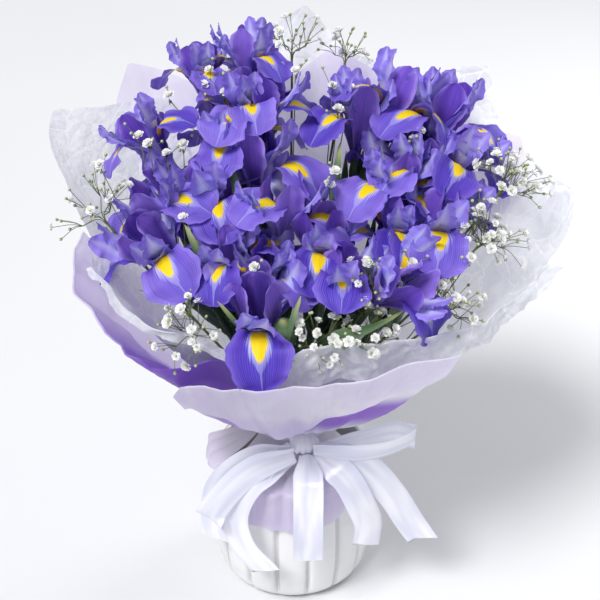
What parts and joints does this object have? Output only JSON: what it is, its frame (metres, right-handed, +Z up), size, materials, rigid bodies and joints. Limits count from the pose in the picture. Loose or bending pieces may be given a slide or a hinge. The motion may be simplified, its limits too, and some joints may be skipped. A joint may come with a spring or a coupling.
{
  "type": "vase of irises",
  "caption": "Hand-tied bouquet of blue-violet irises and gypsophila in tissue and lilac film with a satin bow, standing in a white fluted ceramic vase.",
  "frame": {"origin": "centre of the vase's flat base, on the surface it stands on", "axes": "+Z up, +Y to the back of the bouquet, +X to the right as seen from its front"},
  "size_m": [0.4136, 0.2847, 0.4646],
  "materials": {
    "ceramic": "smooth white glaze",
    "iris": "fresh blue-violet petals on green stems",
    "bud": "green bud, slightly waxy",
    "spray": "small white double flowers on thin green stalks",
    "tissue": "crinkled translucent white tissue",
    "film": "pearly lilac wrapping film",
    "ribbon": "white satin ribbon",
    "twine": "natural jute twine"
  },
  "bodies": {
    "root": {"vase": "ceramic", "tissue_left": "tissue", "tissue_right": "tissue", "film_back_right": "film", "film_back_left": "film", "tissue_back": "tissue", "film_left": "film", "film_front": "film", "stem_tie": "twine", "ribbon_bow": "ribbon", "iris_01": "iris", "iris_02": "iris", "iris_03": "iris", "iris_04": "iris", "iris_05": "iris", "iris_06": "iris", "iris_07": "iris", "iris_08": "iris", "iris_09": "iris", "iris_10": "iris", "iris_11": "iris", "iris_12": "iris", "iris_13": "iris", "iris_14": "iris", "iris_15": "iris", "iris_16": "iris", "iris_17": "iris", "iris_18": "iris", "iris_19": "iris", "iris_20": "iris", "iris_21": "iris", "iris_22": "iris", "iris_23": "iris", "iris_24": "iris", "iris_25": "iris", "iris_bud": "bud", "gypsophila_01": "spray", "gypsophila_02": "spray", "gypsophila_03": "spray", "gypsophila_04": "spray", "gypsophila_05": "spray", "gypsophila_06": "spray", "gypsophila_07": "spray", "gypsophila_08": "spray", "gypsophila_09": "spray", "gypsophila_10": "spray"}
  },
  "joints": []
}
